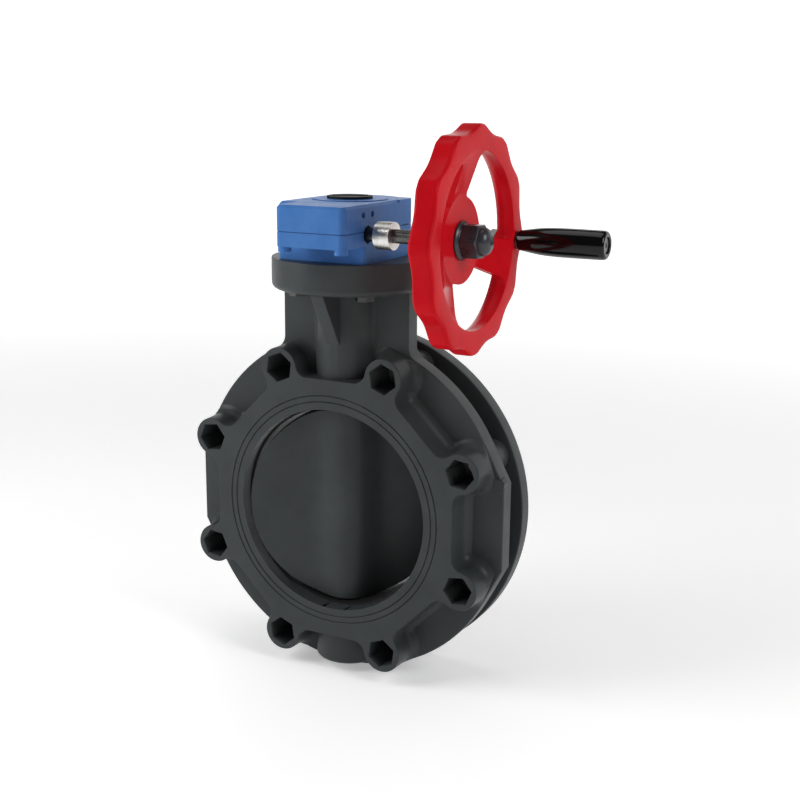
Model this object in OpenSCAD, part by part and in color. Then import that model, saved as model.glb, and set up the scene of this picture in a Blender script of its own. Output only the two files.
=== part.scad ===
// Gear-operated lug butterfly valve, nominal size 8 inch (DN 200), class 150 drilling.
// Origin: where the stem axis crosses the pipe axis. Pipe axis along Y, stem along Z, handwheel shaft along X.

/* [Pipe end] */
// Diameter of the bolt circle
bolt_circle_d = 298.45; // [290:0.05:300]
// Number of lugs and bolts
bolt_count = 8; // [8]
// Diameter of the clearance hole through the back flange at each bolt
bolt_hole_d = 22.2; // [20:0.1:23]
// Outer diameter of the back flange
flange_d = 342.9; // [338:0.1:350]
// Inner diameter of the body at each end
bore_d = 203; // [200:0.5:204]

/* [Body] */
// Distance from the stem axis to the front (lug) face
front_len = 40; // [38:0.5:44]
// Distance from the stem axis to the back flange face
back_len = 53; // [50:0.5:58]
// Thickness of the back flange
flange_t = 17; // [14:0.5:20]
// Distance from the pipe axis to the flat edge between two lugs
lug_ring_apothem = 131; // [128:0.5:132]
// Radius of the round boss about each bolt
lug_r = 19.5; // [18:0.5:20]
// Radius of the hollow where a lug runs into the ring
lug_fillet_r = 12; // [8:0.5:13]
// Width across the flats of the hexagonal pocket in each lug
pocket_af = 25.4; // [24:0.1:27]
// Outer radius of the web plate behind the lugs
web_r = 170; // [168:0.5:172]
// Width of the neck plate
neck_w = 138; // [130:1:144]
// Radius of the stem housing in the neck
housing_r = 33; // [30:0.5:36]

/* [Top mounting pad] */
// Outer radius of the pad
pad_r = 75; // [72:0.5:78]
// Height of the pad's top face above the pipe axis
pad_top = 246; // [240:1:250]
// Thickness of the pad
pad_t = 30; // [24:1:32]
// Diameter of the circle of the four gearbox bolts
pad_bolt_circle_d = 102; // [100:1:104]

/* [Disc and stem] */
// Radius of the disc
disc_r = 99; // [98:0.1:99.2]
// Angle by which the disc stands open at rest
disc_open = 26; // [0:1:90]
// Diameter of the stem
stem_d = 25.4; // [24:0.1:26]
// Outer radius of the sleeve that the disc has around the stem
sleeve_r = 21; // [19:0.5:22]

/* [Gearbox] */
// Half of the width of the gearbox foot
box_half_w = 46; // [45:0.5:48]
// Distance from the stem axis to the front face of the gearbox
box_front = 92; // [88:1:96]
// Height of the top face of the gearbox
box_top = 300; // [298:0.5:304]
// Height of the joint between base and cover
box_split = 275.5; // [274:0.5:277]
// Distance between the stem axis and the worm axis
centre_dist = 48; // [48]
// Height of the worm axis above the pipe axis
worm_z = 273; // [272:0.5:274]
// Number of teeth that the full worm wheel would have
wheel_teeth = 32; // [32]

/* [Handwheel] */
// Radius of the handwheel over its lobes
hand_r = 100.5; // [98:0.5:102]
// Number of lobes around the rim
lobe_count = 12; // [12]
// Depth of the hollow between two lobes
lobe_depth = 5; // [3:0.5:6]
// Distance from the stem axis to the front plane of the rim
rim_front = 156.3; // [154:0.1:158]
// Width of the rim along the shaft
rim_w = 20; // [18:0.5:21]
// Inner radius of the rim
rim_inner_r = 80; // [78:0.5:82]
// Radius of the round plate around the hub
hub_plate_r = 40; // [36:0.5:42]
// Distance from the stem axis to the face that the nut bears on
hub_face = 139; // [138:0.5:140]
// Length of the turning grip
grip_len = 85; // [80:1:90]

/* [Hidden] */
$fn = 96;
eps = 0.01;
body_grey = "#4d5154";
box_blue = "#2b55a8";
wheel_red = "#d01f27";
steel = "#c9cdd1";
black = "#1c1d1f";
rubber = "#161617";
bronze = "#a8854c";
bolt_r = bolt_circle_d / 2;
pitch = 360 / bolt_count;
web_front = -10;
web_back = 9;
pad_bottom = pad_top - pad_t;
stem_r = stem_d / 2;
flat_half = stem_r - 2.2;
bush_r = stem_r + 4.5;
running = 0.05;
liner_half = 25;
liner_inner_r = disc_r + 0.6;
liner_outer_r = 108;
boss_bottom = -163;
module_mm = 2 * 36 / wheel_teeth;
wheel_pitch_r = module_mm * wheel_teeth / 2;
worm_pitch_r = centre_dist - wheel_pitch_r;
lead = PI * module_mm;
lead_angle = atan(lead / (2 * PI * worm_pitch_r));
shaft_r = 6.35;
worm_y = -centre_dist;
hub_z = worm_z;
lobe_phase = -2;
spoke_phase = -17;
handle_r = 87.4;
handle_angle = -4.4;
handle_y = worm_y + handle_r * cos(handle_angle);
handle_z = hub_z + handle_r * sin(handle_angle);
rim_back = rim_front - rim_w;
gasket_t = 0.8;
block_left = -26;
main_left = -44;
main_front = -58;
foot_front = -55;
rear_centre = [1, 14];
rear_r = 45;
box_bottom = 262.4;
gear_room_r = 41;
gear_floor = 259;
thread_x = [-16, 12];
worm_x = [-18, 18];
bush_x = [-30, 40];
seal_end = 44.5;
cover_screw_at = [[-19.5, -85.5], [39.5, -85.5], [-39, -50], [-13, 52], [15, 52]];
stop_x = 30;
stop_z = 268;
sector = [-169, -49];

// ---------- helpers ----------

// Extrudes a profile drawn in the X-Z plane from y0 to y1.
module along_y(y0, y1) {
    translate([0, y1, 0]) rotate([90, 0, 0]) linear_extrude(y1 - y0) children();
}

// Extrudes a profile drawn in the Y-Z plane (first coordinate is Y) from x0 to x1.
module along_x(x0, x1) {
    translate([x0, 0, 0]) rotate([90, 0, 90]) linear_extrude(x1 - x0) children();
}

// A cylinder on the worm axis from x0 to x1.
module shaft_cyl(r, x0, x1) {
    translate([x0, worm_y, worm_z]) rotate([0, 90, 0]) cylinder(r = r, h = x1 - x0);
}

// Puts its children at every bolt of the pipe end, turned to face outwards.
module at_bolts() {
    for (i = [0 : bolt_count - 1]) rotate([0, -pitch * (i + 0.5), 0]) translate([bolt_r, 0, 0]) children();
}

// One hollow corner between the straight edge of the ring and a lug.
module lug_hollow(apothem, r, fillet) {
    lug = bolt_r * [cos(pitch / 2), sin(pitch / 2)];
    reach = r + fillet;
    cx = apothem + fillet;
    cy = lug[1] - sqrt(reach * reach - (cx - lug[0]) * (cx - lug[0]));
    difference() {
        polygon([[apothem - 1, cy], [cx, cy], lug, [apothem - 1, lug[1]]]);
        translate([cx, cy]) circle(fillet);
    }
}

// Outline of the ring with its lugs: straight edges, round lugs and hollow corners.
module lug_outline(apothem, r, fillet) {
    rotate(pitch / 2) circle(apothem / cos(pitch / 2), $fn = bolt_count);
    for (i = [0 : bolt_count - 1]) {
        rotate(pitch * (i + 0.5)) translate([bolt_r, 0]) circle(r);
        rotate(pitch * i) lug_hollow(apothem, r, fillet);
        rotate(pitch * i) mirror([0, 1]) lug_hollow(apothem, r, fillet);
    }
}

// Outline of the web: a circle with an upright flat at each side.
module web_outline() {
    flat = 42;
    tangent = 2 * atan(flat / web_r);
    circle(web_r, $fn = 180);
    for (s = [0, 1]) mirror([s, 0])
        polygon([[0, 0], web_r * [cos(tangent), sin(tangent)], [web_r, flat], [web_r, -flat],
            web_r * [cos(tangent), -sin(tangent)]]);
}

// One hollow corner where the side of the neck plate runs into the web.
module neck_hollow() {
    r = 14;
    cx = neck_w / 2 + r;
    cy = sqrt((web_r + r) * (web_r + r) - cx * cx);
    near = web_r / (web_r + r) * [cx, cy];
    difference() {
        polygon([[neck_w / 2 - 1, near[1] - 2], [neck_w / 2 - 1, cy], [cx, cy], near, [near[0], near[1] - 2]]);
        translate([cx, cy]) circle(r);
    }
}

// ---------- valve body ----------

module pad_solid() {
    round_r = 6;
    rotate_extrude() difference() {
        translate([0, pad_bottom]) square([pad_r, pad_t]);
        difference() {
            translate([pad_r - round_r, pad_bottom - 1]) square([round_r + 1, round_r + 1]);
            translate([pad_r - round_r, pad_bottom + round_r]) circle(round_r);
        }
    }
}

// The stem housing, with flats that leave room for a spanner on the pad bolts.
module housing_solid() {
    flat = 27.5;
    difference() {
        translate([0, 0, 112]) cylinder(r = housing_r, h = pad_bottom - 111);
        for (a = [45 : 90 : 315]) rotate([0, 0, a]) translate([flat, -30, 163])
            cube([20, 60, pad_bottom - 163]);
    }
}

// A small stop that the mould leaves on the edge of the web, at the top of the right flat.
module web_nib() {
    along_y(-12, -2) polygon([[160, 38], [170.6, 41], [171.2, 46], [168.5, 49], [160, 50]]);
}

module gusset(side) {
    rotate([0, 0, side]) along_x(-3.5, 3.5)
        polygon([[-62, pad_bottom + 1], [-62, pad_bottom - 3], [-housing_r + 1, 163], [-20, 163],
            [-20, pad_bottom + 1]]);
}

module body_solid() {
    along_y(-front_len, web_front + 1) lug_outline(lug_ring_apothem, lug_r, lug_fillet_r);
    along_y(web_front, web_back) web_outline();
    along_y(web_back - 1, back_len - flange_t + 1) {
        circle(124);
        for (i = [0 : bolt_count - 1]) rotate(pitch * (i + 0.5)) {
            translate([bolt_r, 0]) circle(17);
            translate([110, -12]) square([bolt_r - 110, 24]);
        }
    }
    along_y(back_len - flange_t, back_len) circle(flange_d / 2, $fn = 180);
    along_y(web_front, web_back - 1) {
        translate([-neck_w / 2, 110]) square([neck_w, pad_bottom - 109]);
        neck_hollow();
        mirror([1, 0]) neck_hollow();
    }
    web_nib();
    housing_solid();
    pad_solid();
    gusset(0);
    gusset(180);
    translate([0, 0, boss_bottom]) cylinder(r = housing_r + 1, h = 60);
}

module face_groove(r, y) {
    rotate([90, 0, 0]) translate([0, 0, -y]) rotate_extrude($fn = 180) translate([r, 0]) circle(0.7, $fn = 4);
}

module valve_body() {
    color(body_grey) difference() {
        body_solid();
        rotate([90, 0, 0]) cylinder(r = bore_d / 2, h = 400, center = true, $fn = 180);
        along_y(-liner_half, liner_half) circle(liner_outer_r, $fn = 180);
        for (r = [109.2, 115.2]) {
            face_groove(r, -front_len);
            face_groove(r, back_len);
        }
        at_bolts() {
            translate([0, 400, 0]) rotate([90, 0, 0]) cylinder(d = bolt_hole_d, h = 440);
            translate([0, 28, 0]) rotate([90, 0, 0]) rotate([0, 0, 30])
                cylinder(r = pocket_af / 2 / cos(30), h = 100, $fn = 6);
        }
        translate([0, 0, 90]) cylinder(r = bush_r, h = 200);
        translate([0, 0, boss_bottom - 1]) cylinder(r = bush_r, h = 100);
        translate([0, 0, boss_bottom - 1]) cylinder(r = 21, h = 13);
        for (a = [45 : 90 : 315]) rotate([0, 0, a]) translate([pad_bolt_circle_d / 2, 0, pad_bottom - 5])
            cylinder(r = 5.5, h = 60);
    }
}

// ---------- seat, bushes and seals of the body ----------

module seat_liner() {
    color(rubber) difference() {
        along_y(-liner_half, liner_half) circle(liner_outer_r, $fn = 180);
        rotate([90, 0, 0]) cylinder(r = liner_inner_r, h = 400, center = true, $fn = 180);
        cylinder(r = stem_r + running, h = 300, center = true);
    }
}

module upper_bush() {
    color(bronze) difference() {
        translate([0, 0, liner_outer_r + 1]) cylinder(r = bush_r, h = pad_top - 12 - liner_outer_r);
        translate([0, 0, 90]) cylinder(r = stem_r + running, h = 200);
        for (z = [140, 165, 190]) translate([0, 0, z]) cylinder(r = stem_r + 2.5, h = 3.5);
    }
}

module lower_bush() {
    color(bronze) difference() {
        translate([0, 0, boss_bottom + 12]) cylinder(r = bush_r, h = -boss_bottom - 13 - liner_outer_r);
        translate([0, 0, boss_bottom]) cylinder(r = stem_r + running, h = 100);
    }
}

module stem_seals() {
    color(rubber) for (z = [140, 165, 190]) translate([0, 0, z + 1.75])
        rotate_extrude() translate([stem_r + running + 1.2, 0]) circle(1.2, $fn = 24);
}

module bottom_plug() {
    color(body_grey) difference() {
        translate([0, 0, boss_bottom]) cylinder(r = 21, h = 12);
        translate([0, 0, boss_bottom - 1]) cylinder(r = 8, h = 7, $fn = 6);
    }
}

module lug_inserts() {
    color(steel) at_bolts() translate([0, 28, 0]) rotate([90, 0, 0]) difference() {
        rotate([0, 0, 30]) cylinder(r = pocket_af / 2 / cos(30), h = 30, $fn = 6);
        translate([0, 0, -1]) cylinder(r = 8.3, h = 40);
    }
}

// ---------- disc and stem ----------

// Section of the stem where it drives the disc: a round bar with two flats.
module drive_section(gap) {
    intersection() {
        circle(stem_r + gap);
        square([4 * stem_r, 2 * (flat_half + gap)], center = true);
    }
}

module disc() {
    edge_t = 3.2;
    hub_t = 15;
    color(body_grey) rotate([0, 0, disc_open]) difference() {
        union() {
            rotate([90, 0, 0]) rotate_extrude($fn = 180) {
                polygon([[0, -hub_t], [30, -hub_t + 1], [disc_r - 10, -edge_t - 1.4], [disc_r - 4, -edge_t],
                    [disc_r - 4, edge_t], [disc_r - 10, edge_t + 1.4], [30, hub_t - 1], [0, hub_t]]);
                translate([disc_r - 4, 0]) scale([4 / edge_t, 1]) circle(edge_t, $fn = 48);
            }
            intersection() {
                cylinder(r = sleeve_r, h = 194, center = true);
                rotate([90, 0, 0]) cylinder(r = disc_r, h = 100, center = true);
            }
        }
        linear_extrude(300, center = true) drive_section(0);
    }
}

module stem() {
    color(steel) rotate([0, 0, disc_open]) difference() {
        translate([0, 0, boss_bottom + 13]) cylinder(r = stem_r, h = 280 - boss_bottom);
        for (side = [0, 180]) rotate([0, 0, side]) translate([-20, flat_half, -99.2]) cube([40, 20, 198.4]);
        translate([-stem_r - 1, -4, 262]) cube([5, 8, 40]);
    }
}

// ---------- gearbox ----------

// Rectangle with rounded corners, drawn from its lowest to its highest corner.
module round_rect(low, high, r) {
    translate([low[0] + r, low[1]]) square([high[0] - low[0] - 2 * r, high[1] - low[1]]);
    translate([low[0], low[1] + r]) square([high[0] - low[0], high[1] - low[1] - 2 * r]);
    for (x = [low[0] + r, high[0] - r], y = [low[1] + r, high[1] - r]) translate([x, y]) circle(r);
}

// Outline of the block in front of the worm, drawn in by inset.
module block_outline(inset) {
    round_rect([block_left + inset, -box_front + inset], [box_half_w - inset, main_front + 14], 6 - inset);
}

// Outline of the housing around worm and wheel, drawn in by inset.
module main_outline(inset) {
    round_rect([main_left + inset, main_front + inset], [box_half_w - inset, rear_centre[1]], 4 - inset);
    translate(rear_centre) circle(rear_r - inset);
}

// The walls of base or cover between two heights.
module box_walls(z0, z1) {
    translate([0, 0, z0]) linear_extrude(z1 - z0) {
        block_outline(0);
        main_outline(0);
    }
}

// The room for the wheel, the worm and the grease, open from z0 to z1.
module gear_room(z0, z1) {
    intersection() {
        union() {
            translate([0, 0, gear_floor]) cylinder(r = gear_room_r, h = 33);
            shaft_cyl(17, worm_x[0] - 0.3, worm_x[1] + 0.3);
            translate([worm_x[0] - 0.3, worm_y - 17, worm_z - 9])
                cube([worm_x[1] - worm_x[0] + 0.6, 40, 18]);
            translate([0, 0, 267]) linear_extrude(27)
                round_rect([block_left + 6, -box_front + 6], [box_half_w - 14, main_front - 10], 3);
        }
        translate([-200, -200, z0]) cube([400, 400, z1 - z0]);
    }
}

module shaft_bores() {
    shaft_cyl(8.5, bush_x[0], bush_x[1]);
    shaft_cyl(11, bush_x[1], seal_end);
    shaft_cyl(8, seal_end - 1, 60);
}

module at_cover_screws() {
    for (p = cover_screw_at) translate([p[0], p[1], 0]) children();
}

module at_stops() {
    for (x = [-stop_x, stop_x]) translate([x, 0, stop_z]) rotate([-90, 0, 0]) children();
}

module gearbox_base() {
    color(box_blue) difference() {
        union() {
            box_walls(box_bottom, box_split);
            translate([0, 0, pad_top]) linear_extrude(box_bottom - pad_top) {
                round_rect([-box_half_w, foot_front], [box_half_w, 46], 3);
            }
            for (i = [0, 1]) translate([cover_screw_at[i][0], cover_screw_at[i][1], 257.5])
                cylinder(r = 6, h = 6);
            at_stops() translate([0, 0, 34]) cylinder(r = 7, h = 20);
        }
        gear_room(gear_floor, box_split + 1);
        shaft_bores();
        translate([0, 0, pad_top - 1]) cylinder(r = bush_r, h = 30);
        translate([0, 0, pad_top - 1]) cylinder(r = 30, h = 5);
        for (a = [45 : 90 : 315]) rotate([0, 0, a]) translate([pad_bolt_circle_d / 2, 0, pad_top - 1])
            cylinder(r = 5, h = 15);
        at_cover_screws() {
            translate([0, 0, pad_top - 1]) cylinder(r = 3.2, h = 60);
            translate([0, 0, pad_top - 1]) cylinder(r = 5.2, h = 17);
        }
        at_stops() cylinder(r = 4, h = 80);
    }
}

module cover_gasket() {
    color(black) difference() {
        translate([0, 0, box_split]) linear_extrude(gasket_t) {
            block_outline(0.6);
            main_outline(0.6);
        }
        gear_room(gear_floor, box_top);
        shaft_bores();
        at_cover_screws() translate([0, 0, pad_top]) cylinder(r = 3.2, h = 60);
    }
}

module gearbox_cover() {
    soft = 2.5;
    color(box_blue) difference() {
        union() {
            box_walls(box_split + gasket_t, box_top - soft);
            hull() {
                translate([0, 0, box_top - soft - eps]) linear_extrude(eps) block_outline(0, $fn = 32);
                translate([0, 0, box_top - eps]) linear_extrude(eps) block_outline(soft, $fn = 32);
            }
            hull() {
                translate([0, 0, box_top - soft - eps]) linear_extrude(eps) main_outline(0, $fn = 64);
                translate([0, 0, box_top - eps]) linear_extrude(eps) main_outline(soft, $fn = 64);
            }
            cylinder(r = 36, h = box_top + 0.8);
        }
        translate([0, 0, pad_top]) cylinder(r = 300, h = box_split + gasket_t - pad_top);
        translate([0, 0, -1]) cylinder(r = 300, h = pad_top + 2);
        gear_room(gear_floor, box_top);
        shaft_bores();
        translate([0, 0, 280]) cylinder(r = 13, h = 40);
        translate([0, 0, box_top + 0.8 - 2.5]) cylinder(r = 16, h = 10);
        at_cover_screws() translate([0, 0, pad_top]) cylinder(r = 3, h = 47);
        for (y = [worm_y - 8.5, worm_y + 8.5]) translate([box_half_w - 4, y, worm_z + 18])
            rotate([0, 90, 0]) cylinder(r = 2.2, h = 10);
    }
}

module cover_screws() {
    color(steel) at_cover_screws() difference() {
        union() {
            translate([0, 0, 257.5]) cylinder(r = 5, h = 4.4);
            translate([0, 0, 261]) cylinder(r = 3, h = 30);
        }
        translate([0, 0, 257]) cylinder(r = 2.9, h = 3.5, $fn = 6);
    }
}

module stop_screws() {
    color(steel) at_stops() difference() {
        translate([0, 0, 10.8]) cylinder(r = 4, h = 54);
        translate([0, 0, 61]) cylinder(r = 2.3, h = 5, $fn = 6);
    }
}

module stop_nuts() {
    color(steel) at_stops() translate([0, 0, 54]) difference() {
        cylinder(r = 7.5, h = 5, $fn = 6);
        translate([0, 0, -1]) cylinder(r = 4, h = 8);
    }
}

module worm_bushes() {
    color(bronze) difference() {
        union() {
            shaft_cyl(8.5, bush_x[0] + 2, worm_x[0] - 0.2);
            shaft_cyl(8.5, worm_x[1] + 0.2, bush_x[1]);
        }
        shaft_cyl(shaft_r + running, -60, 60);
    }
}

module shaft_seal() {
    color(rubber) difference() {
        shaft_cyl(11, bush_x[1], seal_end);
        shaft_cyl(shaft_r + running, 0, 60);
    }
}

// ---------- worm and wheel ----------

// One tooth of the wheel, lying along the worm's thread.
module wheel_tooth() {
    root = wheel_pitch_r - 1.25 * module_mm;
    tip = wheel_pitch_r + 0.85 * module_mm;
    half = lead / 4 - 0.22;
    slope = tan(20);
    rise = tip - wheel_pitch_r;
    fall = wheel_pitch_r - root + 1;
    translate([wheel_pitch_r, 0, worm_z]) rotate([lead_angle, 0, 0]) linear_extrude(15, center = true)
        polygon([[-fall, -half - slope * fall], [rise, -half + slope * rise],
            [rise, half - slope * rise], [-fall, half + slope * fall]]);
}

module worm_wheel() {
    tooth_pitch = 360 / wheel_teeth;
    root = wheel_pitch_r - 1.25 * module_mm;
    first = ceil((sector[0] + 5 + 90) / tooth_pitch);
    last = floor((sector[1] - 5 + 90) / tooth_pitch);
    color(bronze) difference() {
        union() {
            translate([0, 0, gear_floor + 1]) cylinder(r = 22, h = 30);
            intersection() {
                translate([0, 0, worm_z - 7]) cylinder(r = root, h = 14);
                translate([0, 0, worm_z - 8]) linear_extrude(16)
                    polygon(concat([[0, 0]], [for (a = [sector[0] : 15 : sector[1]]) 60 * [cos(a), sin(a)]]));
            }
            for (i = [first : last]) rotate([0, 0, -90 + i * tooth_pitch]) wheel_tooth();
        }
        translate([0, 0, 250]) cylinder(r = stem_r, h = 60);
        rotate([0, 0, disc_open]) translate([-stem_r - 3.3, -4, 250]) cube([10, 8, 60]);
    }
}

module stem_key() {
    color(steel) rotate([0, 0, disc_open]) translate([-stem_r - 3, -4, 262]) cube([7, 8, 27]);
}

// Height of the worm's surface above its root at the fraction t of one turn.
function thread_height(t) =
    let (flank = 2 * module_mm * 0.9 * tan(20) / lead, crest = 0.25 - flank / 2, u = abs(t - 0.5))
    u < crest ? 1 : (u < crest + flank ? 1 - (u - crest) / flank : 0);

module worm() {
    root = worm_pitch_r - 1.2 * module_mm;
    tip = worm_pitch_r + 0.8 * module_mm;
    thread_len = thread_x[1] - thread_x[0];
    sides = 24;
    ring = [for (i = [0 : sides - 1])
        (root + (tip - root) * thread_height(i / sides)) * [cos(360 * i / sides), sin(360 * i / sides)]];
    color(steel) difference() {
        union() {
            translate([thread_x[0], worm_y, worm_z]) rotate([0, 90, 0])
                linear_extrude(thread_len, twist = 360 * thread_len / lead, slices = 56, $fn = 8)
                rotate(90 - 360 * thread_x[0] / lead) polygon(ring);
            shaft_cyl(root - 0.5, worm_x[0], worm_x[1]);
        }
        shaft_cyl(shaft_r, -60, 60);
        translate([15, worm_y, worm_z - 20]) cylinder(r = 1.5, h = 40);
    }
}

module worm_pin() {
    color(steel) translate([15, worm_y, worm_z - 9]) cylinder(r = 1.5, h = 18);
}

module input_shaft() {
    color(steel) difference() {
        union() {
            shaft_cyl(shaft_r, bush_x[0] + 2.5, hub_face);
            shaft_cyl(5.9, hub_face - 1, hub_face + 19);
        }
        translate([15, worm_y, worm_z - 20]) cylinder(r = 1.5, h = 40);
        translate([118, worm_y - 2, worm_z + 3.5]) cube([18, 4, 5]);
        translate([61.5, worm_y + 5.4, worm_z]) rotate([-90, 0, 0]) cylinder(r = 2.5, h = 10);
    }
}

module shaft_collar() {
    color(steel) difference() {
        shaft_cyl(12.7, 53.5, 69.5);
        shaft_cyl(shaft_r, 50, 75);
        translate([61.5, worm_y, worm_z]) rotate([-90, 0, 0]) cylinder(r = 2.5, h = 20);
    }
}

module collar_screw() {
    color(black) translate([61.5, worm_y + 5.6, worm_z]) rotate([-90, 0, 0]) difference() {
        cylinder(r = 2.5, h = 6.6);
        translate([0, 0, 4]) cylinder(r = 1.4, h = 4, $fn = 6);
    }
}

module indicator_cap() {
    color(black) difference() {
        union() {
            translate([0, 0, 293]) cylinder(r = 12.5, h = 8.5);
            translate([0, 0, box_top + 1.1]) cylinder(r = 22, h = 2.1);
            rotate([0, 0, disc_open]) translate([-17, -2, box_top + 3]) cube([34, 4, 1]);
        }
        translate([0, 0, 292]) cylinder(r = 3.3, h = 3);
    }
}

module indicator_seal() {
    color(rubber) difference() {
        translate([0, 0, box_top - 1.7]) cylinder(r = 16, h = 2.2);
        translate([0, 0, 290]) cylinder(r = 12.5 + running, h = 20);
    }
}

module pad_bolts() {
    color(steel) for (a = [45 : 90 : 315]) rotate([0, 0, a]) translate([pad_bolt_circle_d / 2, 0, 0]) {
        translate([0, 0, pad_bottom - 6.4]) cylinder(r = 9.2, h = 6.4, $fn = 6);
        translate([0, 0, pad_bottom - 1]) cylinder(r = 5, h = 42);
    }
}

// ---------- handwheel ----------

// Moves a shape drawn around the X axis to the shaft.
module on_shaft() {
    translate([0, worm_y, hub_z]) children();
}

// Revolves a profile given as [radius, place along the shaft] around the shaft.
module turned(points) {
    on_shaft() rotate([0, 90, 0]) rotate_extrude($fn = 180) polygon(points);
}

// Outline of the rim: a circle with a shallow hollow between each two lobes.
module lobed_outline() {
    hollow_r = 60;
    difference() {
        circle(hand_r, $fn = 180);
        for (i = [0 : lobe_count - 1]) rotate(lobe_phase + 360 / lobe_count * (i + 0.5))
            translate([hand_r - lobe_depth + hollow_r, 0]) circle(hollow_r, $fn = 180);
    }
}

// The three openings between hub plate, spokes and rim.
module wheel_windows() {
    difference() {
        circle(rim_inner_r - 2);
        circle(hub_plate_r);
        for (i = [0 : 2]) rotate(spoke_phase + 120 * i)
            polygon([[20, -22], [52, -14], [66, -15], [90, -34], [90, 34], [66, 15], [52, 14], [20, 22]]);
    }
}

module rim_profile() {
    c = 3;
    turned([[rim_inner_r - 2, rim_back + c], [rim_inner_r + 2, rim_back], [hand_r - c, rim_back],
        [hand_r + 1, rim_back + c], [hand_r + 1, rim_front - c], [hand_r - c, rim_front],
        [rim_inner_r + 1, rim_front], [rim_inner_r - 2, rim_front - 2]]);
}

module handwheel() {
    color(wheel_red) difference() {
        union() {
            intersection() {
                rim_profile();
                on_shaft() along_x(rim_back - 1, rim_front + 1) lobed_outline();
            }
            turned([[0, hub_face - 6], [hub_plate_r, hub_face - 6], [rim_inner_r - 1, 139],
                [rim_inner_r + 1, 139], [rim_inner_r + 1, 146], [rim_inner_r - 1, 146],
                [hub_plate_r, hub_face], [0, hub_face]]);
            shaft_cyl(18, 117, hub_face - 1);
        }
        difference() {
            turned([[85, rim_back - 1], [93, rim_back - 1], [92, rim_back + 13], [86, rim_back + 13]]);
            translate([0, handle_y, handle_z]) rotate([0, 90, 0]) cylinder(r = 9, h = 300);
        }
        on_shaft() along_x(110, 150) wheel_windows();
        shaft_cyl(shaft_r, 100, 160);
        translate([110, worm_y - 2, worm_z]) cube([26, 4, 8.5]);
        translate([100, handle_y, handle_z]) rotate([0, 90, 0]) cylinder(r = 5, h = 80);
    }
}

module wheel_key() {
    color(steel) translate([118, worm_y - 2, worm_z + 3.5]) cube([17.8, 4, 4.9]);
}

module wheel_washer() {
    color(black) difference() {
        union() {
            shaft_cyl(17.5, hub_face, hub_face + 2.4);
            shaft_cyl(15.5, hub_face + 2, hub_face + 4.5);
        }
        shaft_cyl(6.2, 130, 150);
    }
}

module cap_nut() {
    start = hub_face + 4.5;
    color(black) difference() {
        union() {
            translate([start, worm_y, worm_z]) rotate([0, 90, 0]) cylinder(r = 16.4, h = 16, $fn = 6);
            translate([start + 15, worm_y, worm_z]) rotate([0, 90, 0]) rotate_extrude()
                intersection() {
                    square([14, 9]);
                    translate([0, -6]) circle(14.8);
                }
        }
        shaft_cyl(5.9, start - 1, start + 15);
    }
}

// ---------- turning handle ----------

module at_handle() {
    translate([0, handle_y, handle_z]) rotate([0, 90, 0]) children();
}

module handle_spindle() {
    color(steel) difference() {
        at_handle() {
            translate([0, 0, rim_back - 7]) cylinder(r = 5, h = rim_w + 90);
            translate([0, 0, rim_front]) cylinder(r = 8.5, h = 1.8);
        }
        at_handle() translate([0, 0, rim_front + 70]) cylinder(r = 2.5, h = 30);
    }
}

module handle_nut() {
    color(steel) at_handle() translate([0, 0, rim_back - 6]) difference() {
        cylinder(r = 9, h = 6, $fn = 6);
        translate([0, 0, -1]) cylinder(r = 5, h = 8);
    }
}

module handle_grip() {
    start = rim_front + 2.1;
    mid = 30;
    color(black) difference() {
        at_handle() translate([0, 0, start]) rotate_extrude() difference() {
            polygon([[0, 0], [8.6, 0], [9.4, 0.8], [10.6, 8], [12.2, 18], [13.2, mid], [13.5, mid + 14],
                [13.4, grip_len - 4], [12.6, grip_len - 1.2], [11.4, grip_len], [0, grip_len]]);
            square([5.15, grip_len + 1]);
            translate([0, grip_len - 4.5]) square([7.5, 5]);
        }
    }
}

module handle_screw() {
    at = rim_front + 83;
    color(steel) difference() {
        at_handle() {
            translate([0, 0, at]) cylinder(r = 7, h = 2.6);
            translate([0, 0, at - 12]) cylinder(r = 2.5, h = 12.5);
        }
        at_handle() translate([0, 0, at + 1.2]) cylinder(r = 2.3, h = 3, $fn = 6);
    }
}

valve_body();
seat_liner();
upper_bush();
lower_bush();
stem_seals();
bottom_plug();
lug_inserts();
disc();
stem();
pad_bolts();
gearbox_base();
cover_gasket();
gearbox_cover();
cover_screws();
stop_screws();
stop_nuts();
worm_bushes();
shaft_seal();
worm_wheel();
stem_key();
indicator_cap();
indicator_seal();
input_shaft();
worm();
worm_pin();
shaft_collar();
collar_screw();
handwheel();
wheel_key();
wheel_washer();
cap_nut();
handle_spindle();
handle_nut();
handle_grip();
handle_screw();
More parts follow.
